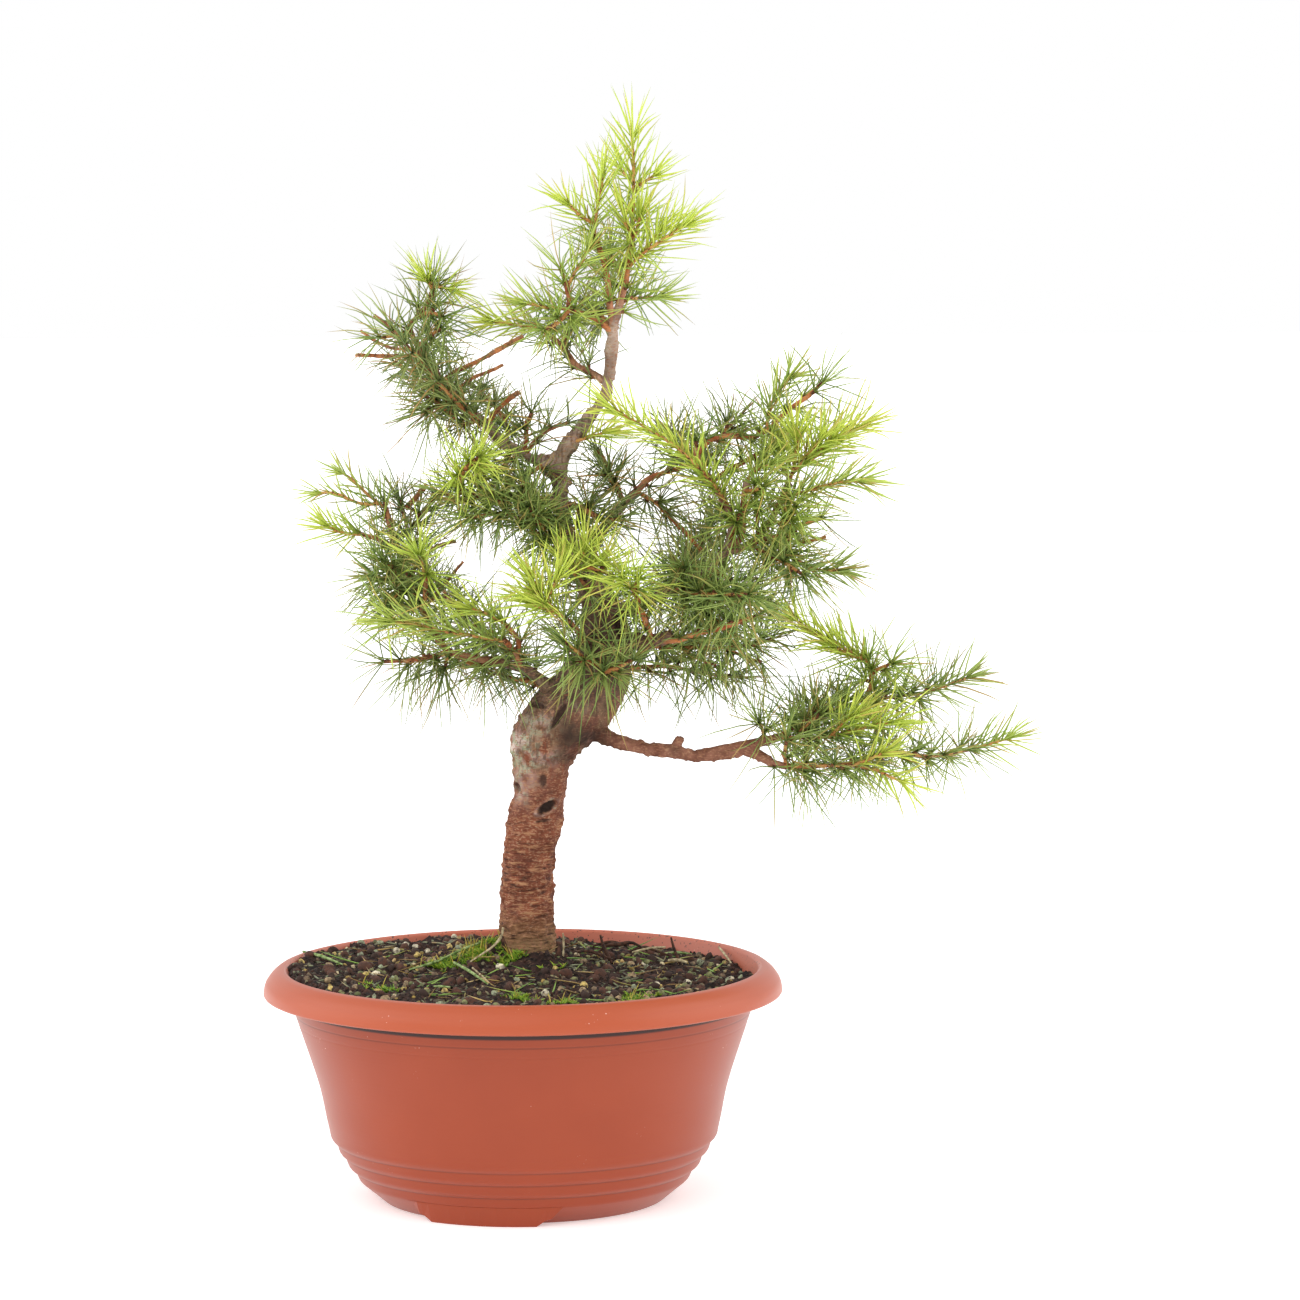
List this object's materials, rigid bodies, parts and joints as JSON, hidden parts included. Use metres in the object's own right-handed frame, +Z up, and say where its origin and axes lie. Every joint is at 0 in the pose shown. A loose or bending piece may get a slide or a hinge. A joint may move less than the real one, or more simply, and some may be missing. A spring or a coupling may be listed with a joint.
{
  "type": "potted larch bonsai",
  "caption": "Young larch tree with a bent trunk and tufts of soft needles, growing in soil in a round plastic bowl pot with a rolled rim and feet.",
  "frame": {"origin": "centre of the pot's underside, on the ground", "axes": "+Z up the tree, +X along the long low branch to the right of the trunk, -Y towards the viewer"},
  "size_m": [0.4528, 0.3, 0.6372],
  "materials": {
    "pot_plastic": "terracotta-coloured satin plastic with faint turned rings",
    "soil": null,
    "bark": "reddish brown flaking bark, greyer on the bend",
    "needles_lime": "soft satin needles, yellow-green young growth",
    "needles_fresh": "soft satin needles, fresh green",
    "needles_green": "soft satin needles, mid green",
    "needles_deep": "soft satin needles, deep green"
  },
  "bodies": {
    "root": {"pot": "pot_plastic", "soil": "soil", "wood": "bark", "spray_apex": "needles_lime", "spray_top_front": "needles_lime", "spray_top_right": "needles_lime", "spray_top_left": "needles_lime", "spray_top_left_low": "needles_fresh", "spray_top_low_right": "needles_fresh", "spray_top_back": "needles_green", "spray_crown_dark": "needles_deep", "spray_crown_left_tuft": "needles_fresh", "spray_crown_left_tip": "needles_lime", "spray_crown_left_dark": "needles_deep", "spray_upper_top": "needles_lime", "spray_upper_front": "needles_deep", "spray_upper_left": "needles_green", "spray_upper_middle": "needles_deep", "spray_upper_back": "needles_deep", "spray_upper_rear": "needles_deep", "spray_middle_rosette": "needles_lime", "spray_middle_left": "needles_green", "spray_middle_tip": "needles_green", "spray_left_old": "needles_fresh", "spray_left_side": "needles_lime", "spray_left_rosette": "needles_lime", "spray_left_mass": "needles_green", "spray_left_mass_rear": "needles_deep", "spray_left_dark": "needles_deep", "spray_left_long": "needles_fresh", "spray_left_fresh": "needles_lime", "spray_left_hanging": "needles_deep", "spray_left_under": "needles_deep", "spray_left_rear": "needles_deep", "spray_centre_left": "needles_lime", "spray_centre_top": "needles_lime", "spray_centre_rosette": "needles_lime", "spray_centre_low": "needles_green", "spray_centre_rear": "needles_deep", "spray_diagonal": "needles_lime", "spray_right_knob": "needles_fresh", "spray_right_top": "needles_lime", "spray_right_out": "needles_fresh", "spray_right_upright": "needles_fresh", "spray_right_dark": "needles_deep", "spray_right_inner": "needles_lime", "spray_right_web": "needles_deep", "spray_inner_dark": "needles_deep", "spray_right_mass": "needles_green", "spray_right_mass_rear": "needles_deep", "spray_right_spray": "needles_green", "spray_right_front": "needles_green", "spray_right_back": "needles_deep", "spray_right_low": "needles_green", "spray_right_low_rear": "needles_deep", "spray_low_tip": "needles_lime", "spray_low_middle": "needles_lime", "spray_low_rear": "needles_green", "spray_low_riser": "needles_lime", "spray_low_far": "needles_fresh"}
  },
  "joints": []
}
